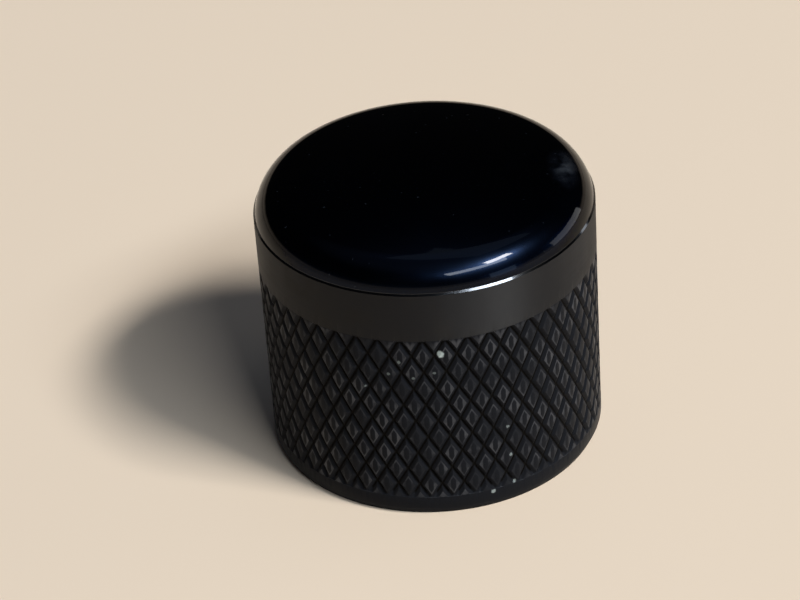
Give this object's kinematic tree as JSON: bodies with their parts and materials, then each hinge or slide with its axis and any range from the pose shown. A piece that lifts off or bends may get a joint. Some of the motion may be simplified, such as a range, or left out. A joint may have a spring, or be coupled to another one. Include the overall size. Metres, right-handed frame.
{
  "type": "guitar knob",
  "caption": "Domed round control knob with a diamond-knurled side, a blind shaft bore with a nut recess under it, and a socket set screw in the back.",
  "frame": {"origin": "centre of the flat base ring, on the shaft axis", "axes": "+Z along the shaft axis towards the dome, +Y towards the set screw"},
  "size_m": [0.019, 0.019, 0.017],
  "materials": {
    "black_plating": "black plating over brass: mirror bright on the dome, satin on the band and the knurl",
    "black_steel": "black oxide, dull"
  },
  "bodies": {
    "root": {"knob_body": "black_plating", "set_screw": "black_steel"}
  },
  "joints": []
}
